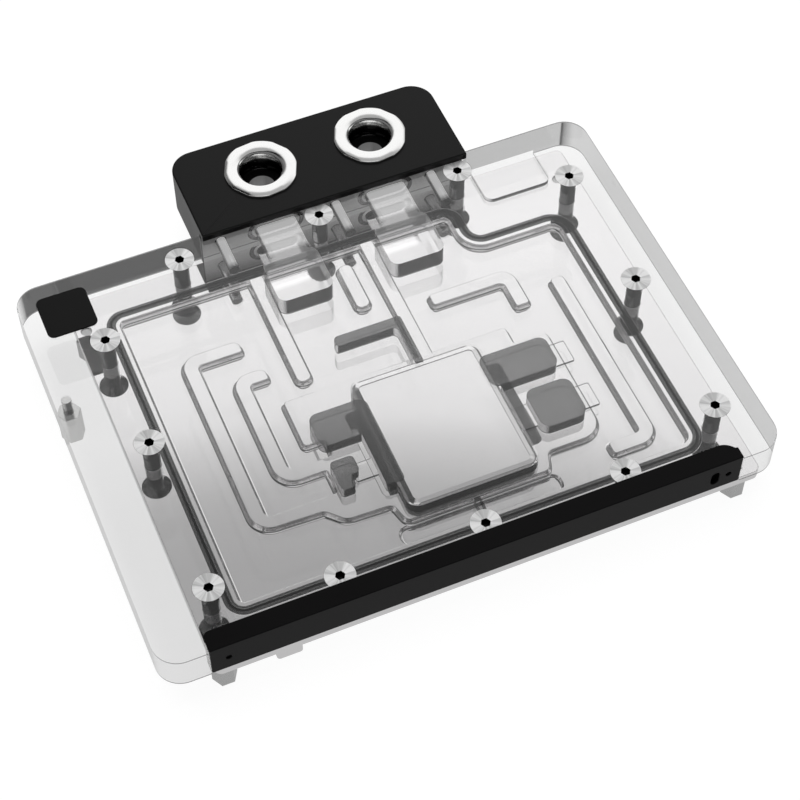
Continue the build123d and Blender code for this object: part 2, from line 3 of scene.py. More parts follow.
import bmesh
import bpy
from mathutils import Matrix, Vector


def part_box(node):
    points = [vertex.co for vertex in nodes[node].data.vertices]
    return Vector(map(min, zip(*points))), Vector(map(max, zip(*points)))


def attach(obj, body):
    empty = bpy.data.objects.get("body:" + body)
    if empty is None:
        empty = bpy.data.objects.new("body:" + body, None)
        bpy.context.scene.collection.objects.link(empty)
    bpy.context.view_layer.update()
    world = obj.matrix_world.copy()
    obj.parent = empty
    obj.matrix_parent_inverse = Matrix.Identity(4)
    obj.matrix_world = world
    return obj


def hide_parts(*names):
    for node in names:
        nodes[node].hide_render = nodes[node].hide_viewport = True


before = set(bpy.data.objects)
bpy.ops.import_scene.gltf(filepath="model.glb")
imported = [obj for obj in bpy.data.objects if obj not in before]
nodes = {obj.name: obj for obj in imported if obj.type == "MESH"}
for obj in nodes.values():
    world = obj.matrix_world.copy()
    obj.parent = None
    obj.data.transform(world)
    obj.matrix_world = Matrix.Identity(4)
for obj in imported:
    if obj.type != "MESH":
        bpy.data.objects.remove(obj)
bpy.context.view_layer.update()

# Table and light
# The block lies on a white table under one wide soft lamp. The room behind it is bright low
# down and darker above, and dark towards the viewer, which is what its bright metal mirrors,
# with one light patch straight above.


def link(tree, source, target):
    tree.links.new(source, target)


def ramp(tree, value, stops):
    """Grey levels along a value, from a list of places and levels."""
    node = tree.nodes.new("ShaderNodeValToRGB")
    band = node.color_ramp
    band.elements.remove(band.elements[1])
    for order, (place, level) in enumerate(stops):
        element = band.elements.new(place) if order else band.elements[0]
        element.color = (level, level, level, 1)
    link(tree, value, node.inputs["Fac"])
    return node.outputs["Color"]


def spread(tree, value, low, high):
    """A value carried from low..high to 0..1."""
    node = tree.nodes.new("ShaderNodeMapRange")
    node.inputs["From Min"].default_value = low
    node.inputs["From Max"].default_value = high
    link(tree, value, node.inputs["Value"])
    return node.outputs["Result"]


def calc(tree, kind, *values):
    """One arithmetic step on up to three values, each a number or a socket."""
    node = tree.nodes.new("ShaderNodeMath")
    node.operation = kind
    for socket, value in zip(node.inputs, values):
        if isinstance(value, (int, float)):
            socket.default_value = value
        else:
            link(tree, value, socket)
    return node.outputs[0]


def product(tree, first, *others):
    """Values multiplied together."""
    for other in others:
        first = calc(tree, "MULTIPLY", first, other)
    return first


def blend_colour(tree, mask, first, second):
    """First colour where the mask is 0, second where it is 1."""
    node = tree.nodes.new("ShaderNodeMix")
    node.data_type = "RGBA"
    link(tree, mask, node.inputs["Factor"])
    for socket, colour in ((node.inputs["A"], first), (node.inputs["B"], second)):
        if isinstance(colour, (int, float)):
            socket.default_value = (colour, colour, colour, 1)
        else:
            link(tree, colour, socket)
    return node.outputs["Result"]


def axes_of(tree, vector):
    """The X, Y and Z of a vector."""
    node = tree.nodes.new("ShaderNodeSeparateXYZ")
    link(tree, vector, node.inputs[0])
    return node.outputs


def placed(name, data):
    """A new object in the scene."""
    thing = bpy.data.objects.new(name, data)
    bpy.context.collection.objects.link(thing)
    return thing


room = bpy.data.worlds.new("studio_room")
bpy.context.scene.world = room
room.use_nodes = True
tree = room.node_tree
tree.nodes.clear()
way = tree.nodes.new("ShaderNodeTexCoord")
parts = axes_of(tree, way.outputs["Generated"])
behind = ramp(
    tree,
    spread(tree, parts["Z"], 0.70, 0.90),
    [
        (0.00, 1.0),
        (0.30, 1.0),
        (0.375, 0.97),
        (0.46, 0.93),
        (0.55, 0.88),
        (0.585, 0.83),
        (0.62, 0.68),
        (0.655, 0.58),
        (0.684, 0.50),
        (0.717, 0.46),
        (0.775, 0.42),
        (1.00, 0.40),
    ],
)
full_height = spread(tree, parts["Z"], 0.0, 1.0)
high_up = [(0.70, 0.16), (0.76, 0.20), (0.82, 0.05), (0.87, 0.0)]
side = ramp(tree, full_height, [(0.0, 0.08), *high_up])
front = ramp(tree, full_height, [(0.0, 0.95), (0.40, 0.95), (0.55, 0.10), *high_up])
backward = spread(tree, parts["Y"], -0.05, 0.10)
dim = blend_colour(tree, backward, front, side)
from_left = spread(tree, parts["X"], -0.03, 0.03)
from_right = spread(tree, parts["X"], 0.60, 0.48)
facing = product(tree, from_left, from_right, backward)
light = blend_colour(tree, facing, dim, behind)
overhead = spread(tree, parts["Z"], 0.975, 0.985)
overhead_level = 0.72
light = blend_colour(tree, overhead, light, overhead_level)
seen = tree.nodes.new("ShaderNodeLightPath")
light = blend_colour(tree, seen.outputs["Is Camera Ray"], light, 1.0)
ground = tree.nodes.new("ShaderNodeBackground")
out = tree.nodes.new("ShaderNodeOutputWorld")
link(tree, light, ground.inputs["Color"])
link(tree, ground.outputs[0], out.inputs["Surface"])

# The paper is seen mostly by its own even glow, which is weaker in mirrors and through acrylic.
table_reach = 3.0
paper_white = 0.95
paper_glow = 1.09
glow_in_metal = 0.50
glow_share = 0.85
lost_in_acrylic = 0.20
mesh = bpy.data.meshes.new("table")
corners = [(-1, -1), (1, -1), (1, 1), (-1, 1)]
mesh.from_pydata([(x * table_reach, y * table_reach, 0) for x, y in corners], [], [(0, 1, 2, 3)])
table = placed("table", mesh)
paper = bpy.data.materials.new("white_paper")
paper.use_nodes = True
tree = paper.node_tree
tree.nodes.clear()
seen = tree.nodes.new("ShaderNodeLightPath")
lit = tree.nodes.new("ShaderNodeBsdfDiffuse")
lit.inputs["Color"].default_value = (paper_white, paper_white, paper_white, 1)
glow = tree.nodes.new("ShaderNodeEmission")
glow.inputs["Strength"].default_value = paper_glow
mirrored = calc(tree, "MINIMUM", seen.outputs["Glossy Depth"], 1.0)
link(tree, blend_colour(tree, mirrored, 1.0, glow_in_metal), glow.inputs["Color"])
shown = calc(tree, "MAXIMUM", seen.outputs["Is Camera Ray"], seen.outputs["Is Glossy Ray"])
shown = calc(tree, "MAXIMUM", shown, seen.outputs["Is Transmission Ray"])
through = calc(tree, "MINIMUM", seen.outputs["Transmission Depth"], 1.0)
hold = calc(tree, "SUBTRACT", glow_share, product(tree, through, lost_in_acrylic))
share = product(tree, shown, hold)
mixed = tree.nodes.new("ShaderNodeMixShader")
link(tree, share, mixed.inputs["Fac"])
link(tree, lit.outputs[0], mixed.inputs[1])
link(tree, glow.outputs[0], mixed.inputs[2])
out = tree.nodes.new("ShaderNodeOutputMaterial")
link(tree, mixed.outputs[0], out.inputs["Surface"])
table.data.materials.append(paper)

lamp = bpy.data.lights.new("softbox", "AREA")
lamp.shape = "SQUARE"
lamp.size = 1.2
lamp.energy = 9.0
softbox = placed("softbox", lamp)
softbox.location = (-0.1, 0.25, 1.3)
aim = Vector((0, 0, 0)) - Vector(softbox.location)
softbox.rotation_euler = aim.to_track_quat("-Z", "Y").to_euler()
softbox.visible_glossy = False
softbox.visible_transmission = False

# Camera
# The view is from the front left, well above the block. A long lens at half a metre keeps the
# perspective as flat as in the picture.
view = bpy.data.cameras.new("view")
view.lens = 92.03
view.sensor_width = 36.0
camera = placed("view", view)
camera.location = (-0.11669, -0.29750, 0.4346)
turn = math.radians(22.889)
dip = math.radians(54.417)
look = Vector((math.sin(turn) * math.cos(dip), math.cos(turn) * math.cos(dip), -math.sin(dip)))
camera.rotation_euler = look.to_track_quat("-Z", "Y").to_euler()
bpy.context.scene.camera = camera
bpy.context.scene.view_settings.view_transform = "Standard"

# Cold plate
# The metal base that the water runs over. It is milled from copper, and the cutter leaves a
# small hollow curve along the foot of each wall. The whole plate is plated with bright nickel.
MM = 0.001
plate_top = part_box("core_gasket")[0][2]
cover_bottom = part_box("main_seal")[1][2]
same_spot = 0.002 * MM
off_level = 0.02 * MM
lowest_wall = 0.5 * MM
channel_depth = 1.75 * MM
crossing_depth = 2.8 * MM
cutter_round = 0.85 * MM
broken_edge = 0.2 * MM

surface_marks = bpy.data.node_groups.new("surface_marks", "ShaderNodeTree")
for way, names in (
    ("INPUT", ("Colour", "Roughness", "Grain size", "Colour change", "Roughness change")),
    ("OUTPUT", ("Colour", "Roughness", "Grain")),
):
    for name in names:
        kind = "NodeSocketColor" if name == "Colour" else "NodeSocketFloat"
        surface_marks.interface.new_socket(name, in_out=way, socket_type=kind)
tree = surface_marks
asked = tree.nodes.new("NodeGroupInput").outputs
given = tree.nodes.new("NodeGroupOutput").inputs
place = tree.nodes.new("ShaderNodeTexCoord")
grain = tree.nodes.new("ShaderNodeTexNoise")
grain.inputs["Detail"].default_value = 3.0
link(tree, place.outputs["Object"], grain.inputs["Vector"])
link(tree, calc(tree, "DIVIDE", 1.0, asked["Grain size"]), grain.inputs["Scale"])
cloud = tree.nodes.new("ShaderNodeTexNoise")
cloud.inputs["Detail"].default_value = 2.0
cloud.inputs["Scale"].default_value = 45.0
link(tree, place.outputs["Object"], cloud.inputs["Vector"])
uneven = calc(tree, "ADD", grain.outputs["Fac"], cloud.outputs["Fac"])
uneven = calc(tree, "SUBTRACT", uneven, 1.0)
level = product(tree, uneven, asked["Colour change"])
level = calc(tree, "ADD", level, 1.0)
shaded = tree.nodes.new("ShaderNodeVectorMath")
shaded.operation = "SCALE"
link(tree, asked["Colour"], shaded.inputs[0])
link(tree, level, shaded.inputs["Scale"])
link(tree, shaded.outputs[0], given["Colour"])
dulling = product(tree, uneven, asked["Roughness change"])
link(tree, calc(tree, "ADD", dulling, asked["Roughness"]), given["Roughness"])
link(tree, grain.outputs["Fac"], given["Grain"])


def new_finish(name, colour, roughness, marks, metallic=0.0, gloss=0.5, relief=0.0):
    """A material of one shader, with marks as grain in mm, change of colour and of roughness."""
    finish = bpy.data.materials.new(name)
    finish.use_nodes = True
    tree = finish.node_tree
    shader = tree.nodes["Principled BSDF"]
    shader.inputs["Metallic"].default_value = metallic
    shader.inputs["Specular IOR Level"].default_value = gloss
    worn = tree.nodes.new("ShaderNodeGroup")
    worn.node_tree = surface_marks
    worn.inputs["Colour"].default_value = (*colour, 1)
    worn.inputs["Roughness"].default_value = roughness
    worn.inputs["Grain size"].default_value = marks[0] * MM
    worn.inputs["Colour change"].default_value = marks[1]
    worn.inputs["Roughness change"].default_value = marks[2]
    link(tree, worn.outputs["Colour"], shader.inputs["Base Color"])
    link(tree, worn.outputs["Roughness"], shader.inputs["Roughness"])
    if relief:
        bump = tree.nodes.new("ShaderNodeBump")
        bump.inputs["Strength"].default_value = 0.5
        bump.inputs["Distance"].default_value = relief * MM
        link(tree, worn.outputs["Grain"], bump.inputs["Height"])
        link(tree, bump.outputs["Normal"], shader.inputs["Normal"])
    return finish


def dress(finish, *names):
    """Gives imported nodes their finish."""
    for name in names:
        nodes[name].material_slots[0].material = finish


def merged_copy(node):
    """A node's mesh with its triangles joined into whole faces."""
    shape = bmesh.new()
    shape.from_mesh(nodes[node].data)
    bmesh.ops.remove_doubles(shape, verts=shape.verts, dist=same_spot)
    flat = math.radians(0.5)
    bmesh.ops.dissolve_limit(shape, angle_limit=flat, verts=shape.verts, edges=shape.edges)
    return shape


def made_plain(piece):
    """Puts the result of a piece's modifiers in their place, as a mesh of its own."""
    graph = bpy.context.evaluated_depsgraph_get()
    mesh = bpy.data.meshes.new_from_object(piece.evaluated_get(graph))
    piece.modifiers.clear()
    piece.data = mesh
    return mesh


def rounded_piece(name, node, finish, width, segments=3, levels=None, shape=None, angle=35):
    """A node's own form with its edges rounded, all alike or by the share at each named height."""
    shape = shape or merged_copy(node)
    weight = shape.edges.layers.float.new("bevel_weight_edge")
    for edge in shape.edges:
        sharp = len(edge.link_faces) == 2 and edge.calc_face_angle(0) > math.radians(angle)
        ends = [corner.co.z for corner in edge.verts]
        share = 1.0
        if levels is not None:
            near = [z for z in levels if all(abs(end - z) < off_level for end in ends)]
            share = levels[near[0]] if near else 0.0
        edge[weight] = share if sharp else 0.0
    mesh = bpy.data.meshes.new(name)
    shape.to_mesh(mesh)
    shape.free()
    mesh.attributes.remove(mesh.attributes["custom_normal"])
    mesh.shade_smooth()
    mesh.set_sharp_from_angle(angle=math.radians(angle))
    piece = placed(name, mesh)
    bevel = piece.modifiers.new("rounding", "BEVEL")
    bevel.limit_method = "WEIGHT"
    bevel.width = width
    bevel.segments = segments
    bevel.use_clamp_overlap = False
    bevel.loop_slide = False
    bevel.face_strength_mode = "FSTR_ALL"
    bevel.miter_outer = "MITER_ARC"
    even = piece.modifiers.new("even_faces", "WEIGHTED_NORMAL")
    even.keep_sharp = True
    even.use_face_influence = True
    finished = made_plain(piece)
    finished.materials.clear()
    finished.materials.append(finish)
    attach(piece, "root")
    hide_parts(node)
    return piece


nickel = new_finish("bright_nickel", (0.94, 0.93, 0.935), 0.03, (1.5, 0.02, 0.01), metallic=1.0)
shape = merged_copy("cold_plate")
level_faces = [face for face in shape.faces if abs(face.normal.z) > 0.999]
level_faces = bmesh.ops.triangulate(shape, faces=level_faces, ngon_method="BEAUTY")["faces"]
on_level = set(level_faces)
inner = [
    edge
    for edge in shape.edges
    if len(edge.link_faces) == 2
    and edge.calc_face_angle(0) < math.radians(1)
    and on_level.intersection(edge.link_faces)
]
bmesh.ops.beautify_fill(shape, faces=level_faces, edges=inner, method="ANGLE")
shape.normal_update()

inward = {}
wall_feet = []
floor_levels = (plate_top - channel_depth, plate_top - crossing_depth)
for edge in shape.edges:
    height = edge.verts[0].co.z
    level = abs(edge.verts[1].co.z - height) < off_level / 2
    milled = min(abs(height - floor) for floor in floor_levels) < off_level
    floors = [face for face in edge.link_faces if face.normal.z > 0.99]
    walls = [face for face in edge.link_faces if abs(face.normal.z) < 0.1]
    if not (level and milled and floors and walls):
        continue
    if max(corner.co.z for corner in walls[0].verts) > height + lowest_wall:
        wall_feet.append(tuple(edge.verts))
        for corner in edge.verts:
            inward.setdefault(corner, []).append(walls[0].normal.copy())
cove_steps = 7
coves = {}
for corner, ways in inward.items():
    way = ways[0].copy()
    if len(ways) == 2:
        way = sum(ways, Vector()) / (1 + ways[0].dot(ways[-1]))
    coves[corner] = [shape.verts.new(corner.co)]
    for step in range(cove_steps + 1):
        angle = math.pi / 2 * step / cove_steps
        out = cutter_round * (1 - math.cos(angle))
        up = cutter_round * (1 - math.sin(angle))
        coves[corner].append(shape.verts.new(corner.co + way * out + Vector((0, 0, up))))
cove_faces = []
for first, second in wall_feet:
    near, far = coves[first], coves[second]
    for here in range(len(near)):
        ahead = (here + 1) % len(near)
        cove_faces.append(shape.faces.new((near[here], near[ahead], far[ahead], far[here])))
for corner, ways in inward.items():
    if len(ways) == 1:
        cove_faces.append(shape.faces.new(coves[corner]))
bmesh.ops.recalc_face_normals(shape, faces=cove_faces)
base = rounded_piece(
    "plated_base", "cold_plate", nickel, broken_edge, levels={plate_top: 1.0}, shape=shape
)

# Fins and flow plate
# Thin copper fins cut into the plate over the chip and plated with it, and the stamped steel
# sheet with a slot that lies on them and sends the water down their middle.
steel = new_finish("sheet_steel", (0.55, 0.55, 0.55), 0.25, (0.4, 0.15, 0.1), metallic=1.0)
dress(nickel, "fin_block")
dress(steel, "flow_plate")

# Seal
# A moulded cord of black nitrile rubber, laid in a groove round the channels and pressed flat
# by the cover. Smaller cords of the same rubber seal the core cover and both ports.
rubber = new_finish("seal_rubber", (0.012, 0.012, 0.012), 0.12, (0.3, 0.3, 0.08), gloss=1.0)
cord_round = 0.7 * MM
cord = rounded_piece(
    "round_seal", "main_seal", rubber, cord_round, segments=5, levels={cover_bottom: 1.0}
)
dress(rubber, "core_gasket", "port_seal_left", "port_seal_right")

# Core cover
# A bare plate of the same bright nickel that closes the core. Its flat middle stands a little
# above the rim, which is milled down all round, and every edge is broken.
core_rim = 1.2 * MM
core_step = 0.2 * MM
core_edge = 0.12 * MM
core_chamfer = 0.03 * MM
shape = merged_copy("core_cover")
middle = max(shape.faces, key=lambda face: face.normal.z * face.calc_area())
core_top = middle.verts[0].co.z
bmesh.ops.inset_region(shape, faces=[middle], thickness=core_rim, use_even_offset=True)
rim_corners = [corner for corner in shape.verts if abs(corner.co.z - core_top) < off_level / 2]
bmesh.ops.inset_region(shape, faces=[middle], thickness=core_chamfer, use_even_offset=True)
for corner in rim_corners:
    corner.co.z -= core_step
core = rounded_piece("core_plate", "core_cover", nickel, core_edge, shape=shape, angle=25)

# Clear cover
# A slab of cast acrylic with polished faces. The grey of the milled walls of its chambers, of its
# own edges and of the ceilings of the transfer pockets is painted shade in its colour: back-facing
# walls and pocket ceilings are painted nearly black, thin bands at the top and bottom of upright
# faces dark, the right face and the back face right of the terminal grey, and the back face where
# the terminal joins it is left nearly clear. The cutter leaves the ceilings of the two port
# chambers frosted, and a painted glow makes them whitest near the terminal.
cover_top = cover_bottom + 10.0 * MM
pocket_ceiling = cover_bottom + 3.5 * MM
rim_width = 0.4 * MM
clear_tone = 0.97
# Painted shade: these grey levels go into the slab's colour on walls, edges and pocket ceilings.
wall_shade = 0.003
joint_shade = 0.90
past_joint_shade = 0.30
right_shade = 0.45
ceiling_shade = 0.034
rim_shade = 0.10
ceiling_frost = 0.45
ceiling_painted_glow = 0.42
fade = 0.05 * MM
acrylic = bpy.data.materials.new("clear_acrylic")
acrylic.use_nodes = True
tree = acrylic.node_tree
shader = tree.nodes["Principled BSDF"]
shader.inputs["Roughness"].default_value = 0.0
shader.inputs["Transmission Weight"].default_value = 1.0
shader.inputs["IOR"].default_value = 1.01
shader.inputs["Coat Weight"].default_value = 1.0
shader.inputs["Coat IOR"].default_value = 1.7
shader.inputs["Coat Roughness"].default_value = 0.0
face = tree.nodes.new("ShaderNodeNewGeometry")
sign = calc(tree, "MULTIPLY_ADD", face.outputs["Backfacing"], -2.0, 1.0)
outward = tree.nodes.new("ShaderNodeVectorMath")
outward.operation = "SCALE"
link(tree, face.outputs["Normal"], outward.inputs[0])
link(tree, sign, outward.inputs["Scale"])
normal = axes_of(tree, outward.outputs[0])
place = tree.nodes.new("ShaderNodeTexCoord")
spot = axes_of(tree, place.outputs["Object"])
# The painted grey shade is for what is seen through the slab, and not for what metal mirrors of
# it.
seen = tree.nodes.new("ShaderNodeLightPath")
straight = calc(tree, "SUBTRACT", 1.0, calc(tree, "MINIMUM", seen.outputs["Glossy Depth"], 1.0))
back_wall = product(tree, spread(tree, normal["Y"], 0.35, 0.8), straight)
right_wall = product(tree, spread(tree, normal["X"], 0.35, 0.8), straight)
faces_down = spread(tree, normal["Z"], -0.5, -0.8)
lowest = spread(tree, spot["Z"], pocket_ceiling - 2 * fade, pocket_ceiling - fade)
highest = spread(tree, spot["Z"], pocket_ceiling + 2 * fade, pocket_ceiling + fade)
ceiling = product(tree, lowest, highest, faces_down, straight)
joint_low, joint_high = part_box("terminal_block")
cover_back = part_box("flow_cover")[1][1]
outer_face = spread(tree, spot["Y"], cover_back - 6 * fade, cover_back - 4 * fade)
past_left = spread(tree, spot["X"], joint_low[0] - 6 * fade, joint_low[0])
past_right = spread(tree, spot["X"], joint_high[0], joint_high[0] + 6 * fade)
outer_shade = blend_colour(tree, past_left, wall_shade, joint_shade)
outer_shade = blend_colour(tree, past_right, outer_shade, past_joint_shade)
back_shade = blend_colour(tree, outer_face, wall_shade, outer_shade)
shaded_tint = blend_colour(tree, back_wall, clear_tone, back_shade)
shaded_tint = blend_colour(tree, right_wall, shaded_tint, right_shade)
shaded_tint = blend_colour(tree, ceiling, shaded_tint, ceiling_shade)
upright = spread(tree, calc(tree, "ABSOLUTE", normal["Z"]), 0.5, 0.3)
above = spread(tree, spot["Z"], cover_top - rim_width - fade, cover_top - rim_width + fade)
below = spread(tree, spot["Z"], cover_bottom + rim_width + fade, cover_bottom + rim_width - fade)
rim = product(tree, upright, calc(tree, "MAXIMUM", above, below), straight)
shaded_tint = blend_colour(tree, rim, shaded_tint, rim_shade)
link(tree, shaded_tint, shader.inputs["Base Color"])
inside = spread(tree, spot["Z"], pocket_ceiling + 6 * fade, pocket_ceiling + 8 * fade)
frosted = product(tree, inside, faces_down)
link(tree, product(tree, frosted, ceiling_frost), shader.inputs["Roughness"])
# Painted light: a glow on the frosted ceilings, strongest near the back where the terminal is.
near_back = spread(tree, spot["Y"], cover_back - 11.0 * MM, cover_back - 9.0 * MM)
painted_glow_near_back = product(tree, frosted, near_back)
link(tree, blend_colour(tree, painted_glow_near_back, 0.0, ceiling_painted_glow), shader.inputs["Emission Color"])
shader.inputs["Emission Strength"].default_value = 1.0
dress(acrylic, "flow_cover")

# Terminal
# A block milled from black acetal, with soft edges, that carries both ports and is screwed to the
# cover's back. Light that the acrylic leads to its matt joint face and into its drilled ways isn't
# traced, so both have a faint painted glow instead, and the joint face under the lip is also
# painted grey, lightest towards its foot, as painted light.
terminal_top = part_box("terminal_block")[1][2]
terminal_edge = 0.35 * MM
drill_radius = 3.6 * MM
drill_glow = 0.10
painted_face_lights = (0.10, 0.45)
face_glows = (0.05, 0.12)


def opened(finish):
    """A finish's tree, its shader, its plain colour and its texture coordinates."""
    tree = finish.node_tree
    shader = tree.nodes["Principled BSDF"]
    colour = shader.inputs["Base Color"].links[0].from_socket
    return tree, shader, colour, tree.nodes.new("ShaderNodeTexCoord").outputs


acetal = new_finish(
    "black_acetal", (0.004, 0.004, 0.004), 0.32, (0.5, 0.3, 0.06), gloss=0.2, relief=0.004
)
tree, shader, colour, place = opened(acetal)
spot = axes_of(tree, place["Object"])
normal = axes_of(tree, place["Normal"])
# Painted light: the joint face under the lip is painted grey, lighter towards its foot, with a
# faint glow.
joint_face = spread(tree, normal["Y"], -0.8, -0.95)
under_lip = spread(tree, spot["Z"], cover_top, cover_top - 0.2 * MM)
milled = product(tree, joint_face, under_lip)
lit_foot = spread(tree, spot["Z"], cover_top - 1.0 * MM, cover_bottom + 2.0 * MM)
painted_face_light = blend_colour(tree, lit_foot, *painted_face_lights)
link(tree, blend_colour(tree, milled, colour, painted_face_light), shader.inputs["Base Color"])
squares = []
for side in ("left", "right"):
    low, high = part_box(f"port_insert_{side}")
    off_x = calc(tree, "SUBTRACT", spot["X"], (low[0] + high[0]) / 2)
    off_y = calc(tree, "SUBTRACT", spot["Y"], (low[1] + high[1]) / 2)
    across, along = product(tree, off_x, off_x), product(tree, off_y, off_y)
    squares.append(calc(tree, "ADD", across, along))
nearest = calc(tree, "MINIMUM", *squares)
drilled = spread(tree, nearest, (drill_radius + 0.1 * MM) ** 2, (drill_radius + 0.02 * MM) ** 2)
face_glow = blend_colour(tree, milled, 0.0, blend_colour(tree, lit_foot, *face_glows))
link(tree, blend_colour(tree, drilled, face_glow, drill_glow), shader.inputs["Emission Color"])
shader.inputs["Emission Strength"].default_value = 1.0
block = rounded_piece(
    "port_terminal", "terminal_block", acetal, terminal_edge, levels={terminal_top: 1.0}
)

# Port inserts
# Brass sleeves with bright nickel, screwed into the terminal. Each is turned and threaded
# inside and has six short flats on its flange. Its lower turns are painted nearly black, as
# painted shade and painted reflection of the black block around them.
flange_radius = 10.0 * MM
flange_flats = 9.72 * MM
flange_turn = math.radians(7.0)
flange_thick = 0.7 * MM
sleeve_radius = 8.0 * MM
sleeve_bore = 5.9 * MM
thread_depth = 0.25 * MM
thread_pitch = 0.9 * MM
turned_sides = 144
thread_shade_tone = 0.03
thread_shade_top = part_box("port_insert_left")[1][2] - 2.4 * MM
port_metal = new_finish("port_nickel", (0.95, 0.95, 0.94), 0.12, (0.3, 0.06, 0.05), metallic=1.0)
tree, shader, colour, place = opened(port_metal)
spot = axes_of(tree, place["Object"])
# Painted shade: the sleeve is painted nearly black below this height.
thread_shaded = spread(tree, spot["Z"], thread_shade_top, thread_shade_top - 0.6 * MM)
link(tree, blend_colour(tree, thread_shaded, colour, thread_shade_tone), shader.inputs["Base Color"])


def flange_reach(angle):
    """Radius of the flange in one direction: a circle cut by the six flats of a hexagon."""
    off = (angle - flange_turn) % math.radians(60) - math.radians(30)
    return min(flange_radius, flange_flats / math.cos(off))


for side in ("left", "right"):
    low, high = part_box(f"port_insert_{side}")
    middle = ((low[0] + high[0]) / 2, (low[1] + high[1]) / 2)
    # Each point has its distance in from the flange's edge or else its radius, and its height.
    sleeve_foot = low[2] - high[2]
    profile = [
        (None, sleeve_radius, sleeve_foot),
        (None, sleeve_radius, -flange_thick),
        (0.0, 0.0, -flange_thick),
        (0.0, 0.0, -0.14 * MM),
        (-0.05 * MM, 0.0, -0.05 * MM),
        (-0.16 * MM, 0.0, 0.0),
        (None, sleeve_bore + 0.42 * MM, 0.0),
        (None, sleeve_bore + 0.34 * MM, -0.04 * MM),
        (None, sleeve_bore, -0.38 * MM),
    ]
    height = -0.6 * MM
    while height - thread_pitch > sleeve_foot:
        profile.append((None, sleeve_bore, height))
        profile.append((None, sleeve_bore + thread_depth, height - 0.45 * thread_pitch))
        height -= thread_pitch
    profile.append((None, sleeve_bore, sleeve_foot))
    shape = bmesh.new()
    rings = []
    for inset, radius, height in profile:
        ring = []
        for turn_step in range(turned_sides):
            angle = 2 * math.pi * turn_step / turned_sides
            reach = radius if inset is None else flange_reach(angle) + inset
            spot_x = middle[0] + reach * math.cos(angle)
            spot_y = middle[1] + reach * math.sin(angle)
            ring.append(shape.verts.new((spot_x, spot_y, high[2] + height)))
        rings.append(ring)
    for ring, after in zip(rings, rings[1:] + rings[:1]):
        for here in range(turned_sides):
            ahead = (here + 1) % turned_sides
            shape.faces.new((ring[here], ring[ahead], after[ahead], after[here]))
    bmesh.ops.recalc_face_normals(shape, faces=shape.faces)
    mesh = bpy.data.meshes.new(f"port_sleeve_{side}")
    shape.to_mesh(mesh)
    shape.free()
    mesh.shade_smooth()
    mesh.set_sharp_from_angle(angle=math.radians(30))
    mesh.materials.append(port_metal)
    sleeve = placed(f"port_sleeve_{side}", mesh)
    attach(sleeve, "root")
    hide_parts(f"port_insert_{side}")

# Cover screws
# Countersunk machine screws with hexagon sockets, turned from bright steel. They go through the
# clear cover into the cold plate. Their heads have light and dark rays and a bow-tie highlight
# painted into their colour, as painted highlights of the turning marks, and their sockets, cones
# and upper shanks are painted nearly black, as painted shade.
screw_low, screw_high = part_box("cover_screws")
screw_length = screw_high[2] - screw_low[2]
screw_head = 3.85 * MM
screw_shank = 2.0 * MM
screw_socket = 1.3 * MM
screw_socket_depth = 1.5 * MM
screw_sides = 48
painted_shade_from = cover_bottom + 4.1 * MM
painted_shade_tone = 0.02


def middles_of(node):
    """The middle of each separate solid of a node, seen from above."""
    shape = merged_copy(node)
    left = set(shape.verts)
    found = []
    while left:
        island = [left.pop()]
        for corner in island:
            near = {edge.other_vert(corner) for edge in corner.link_edges} & left
            left -= near
            island.extend(near)
        xs = [corner.co.x for corner in island]
        ys = [corner.co.y for corner in island]
        found.append(((min(xs) + max(xs)) / 2, (min(ys) + max(ys)) / 2))
    shape.free()
    return sorted(found)


def add_node(tree, kind, settings=None, **values):
    """A node with its settings and its inputs, each a plain value or another node's output."""
    node = tree.nodes.new(kind)
    for name, value in (settings or {}).items():
        setattr(node, name, value)
    for name, value in values.items():
        label = name.replace("_", " ")
        socket = next(item for item in node.inputs if item.name == label and item.enabled)
        if isinstance(value, bpy.types.NodeSocket):
            link(tree, value, socket)
        else:
            socket.default_value = value
    return node


def lift(tree, geometry, height):
    """Geometry moved up by a height."""
    way = add_node(tree, "ShaderNodeCombineXYZ", Z=height).outputs[0]
    return add_node(tree, "GeometryNodeTransform", Geometry=geometry, Translation=way).outputs[0]


def open_tube(tree, sides, radius, depth):
    """A cylinder from its open top at height 0 down to its closed foot."""
    tube = add_node(
        tree,
        "GeometryNodeMeshCylinder",
        {"fill_type": "NGON"},
        Vertices=sides,
        Radius=radius,
        Depth=depth,
    ).outputs
    whole, top = tube["Mesh"], tube["Top"]
    cut = {"domain": "FACE"}
    tube = add_node(tree, "GeometryNodeDeleteGeometry", cut, Geometry=whole, Selection=top)
    return lift(tree, tube.outputs[0], product(tree, depth, -0.5))


def joined(tree, *parts):
    """Geometries put together."""
    node = tree.nodes.new("GeometryNodeJoinGeometry")
    for part in parts:
        link(tree, part, node.inputs[0])
    return node.outputs[0]


turned_steel = new_finish("turned_steel", (0.9, 0.9, 0.89), 0.32, (0.3, 0.05, 0.1), metallic=0.35)
tree = turned_steel.node_tree
shader = tree.nodes["Principled BSDF"]
local = tree.nodes.new("ShaderNodeAttribute")
local.attribute_name = "turned"
axes = axes_of(tree, local.outputs["Vector"])
angle = calc(tree, "ARCTAN2", axes["Y"], axes["X"])
